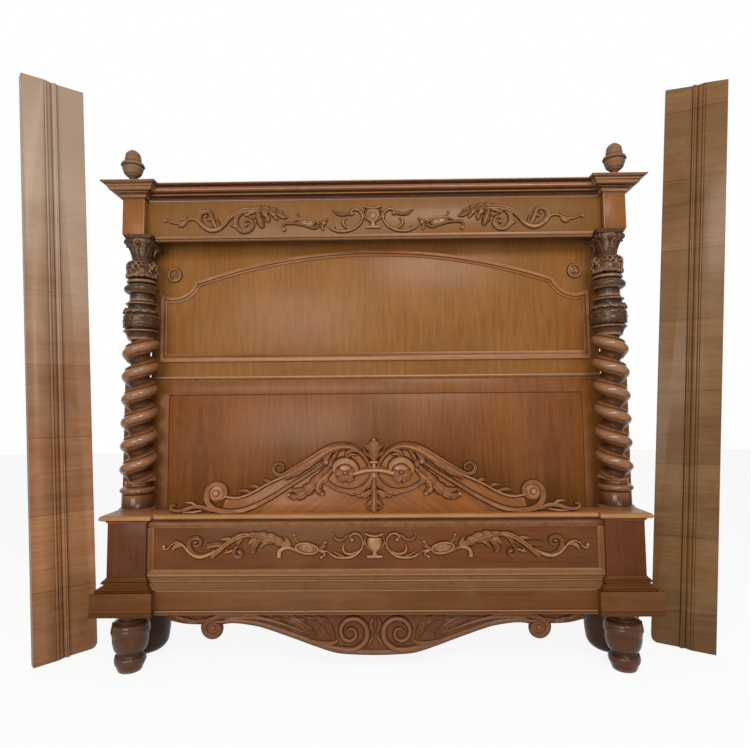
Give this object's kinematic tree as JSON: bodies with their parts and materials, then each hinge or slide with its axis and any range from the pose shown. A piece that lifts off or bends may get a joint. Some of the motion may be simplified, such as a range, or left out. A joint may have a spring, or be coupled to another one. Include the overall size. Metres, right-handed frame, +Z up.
{
  "type": "rope-twist bed",
  "caption": "Carved walnut bed taken apart: headboard with rope-twist columns and acorn finials, low footboard with a scrolled crest, and side rails standing on end.",
  "frame": {"origin": "On the floor, in the middle of the object's width and depth", "axes": "+X across the bed to the viewer's right, -Y towards the viewer, +Z up"},
  "size_m": [2.359, 0.336, 1.8929],
  "materials": {
    "walnut_panel": "polished figured walnut",
    "walnut_footboard": "polished darker walnut",
    "walnut_turned": "turned walnut, glossy polish",
    "walnut_carved": "carved walnut with dark hollows",
    "walnut_moulding": "moulded walnut, reddish polish",
    "walnut_pedestal": "polished walnut",
    "walnut_finial": "greyed matt walnut",
    "walnut_rail": "cross-banded walnut veneer, worn polish",
    "plain_back": "plain unpolished wood",
    "steel": "aged bright steel"
  },
  "bodies": {
    "bed": {"headboard_foot_L": "walnut_turned", "headboard_foot_R": "walnut_turned", "pedestal_L": "walnut_pedestal", "pedestal_R": "walnut_pedestal", "pedestal_cap_L": "walnut_pedestal", "pedestal_cap_R": "walnut_pedestal", "column_base_L": "walnut_turned", "column_base_R": "walnut_turned", "column_shaft_L": "walnut_turned", "column_shaft_R": "walnut_turned", "column_cup_L": "walnut_turned", "column_cup_R": "walnut_turned", "column_capital_L": "walnut_carved", "column_capital_R": "walnut_carved", "entablature_block_L": "walnut_panel", "entablature_block_R": "walnut_panel", "frieze_board": "walnut_panel", "frieze_lower_moulding": "walnut_moulding", "entablature_core": "walnut_panel", "frieze_carving": "walnut_carved", "cornice_bed": "walnut_moulding", "cornice_band": "walnut_moulding", "cornice_crown": "walnut_moulding", "upper_panel": "walnut_panel", "arched_moulding": "walnut_moulding", "spandrel_rosettes": "walnut_carved", "ledge_moulding": "walnut_moulding", "lower_panel": "walnut_panel", "back_stile_L": "plain_back", "back_stile_R": "plain_back", "back_rails": "plain_back", "footboard_post_L": "walnut_footboard", "footboard_post_R": "walnut_footboard", "footboard_foot_L": "walnut_turned", "footboard_foot_R": "walnut_turned", "corner_plinth_L": "walnut_footboard", "corner_plinth_R": "walnut_footboard", "centre_plinth": "walnut_footboard", "base_moulding": "walnut_moulding", "footboard_panel": "walnut_footboard", "panel_edge_mouldings": "walnut_moulding", "footboard_back_panel": "walnut_footboard", "cap_cove": "walnut_moulding", "cap_slab": "walnut_footboard", "crest_board": "walnut_footboard", "crest_carving": "walnut_carved", "footboard_carving": "walnut_carved", "apron": "walnut_carved", "side_rail_L": "walnut_rail", "side_rail_R": "walnut_rail", "slat_ledge_L": "plain_back", "slat_ledge_R": "plain_back", "rail_end_plates_L": "steel", "rail_end_plates_R": "steel", "headboard_stud_plates": "steel", "footboard_stud_plates": "steel", "plate_screws": "steel"},
    "finial_L": {"finial_L": "walnut_finial"},
    "finial_R": {"finial_R": "walnut_finial"}
  },
  "joints": [
    {"name": "finial_L_lift", "type": "slide", "parent": "bed", "child": "finial_L", "axis": [0, 0, 1], "range_m": [0, 0.06]},
    {"name": "finial_R_lift", "type": "slide", "parent": "bed", "child": "finial_R", "axis": [0, 0, 1], "range_m": [0, 0.06]}
  ]
}
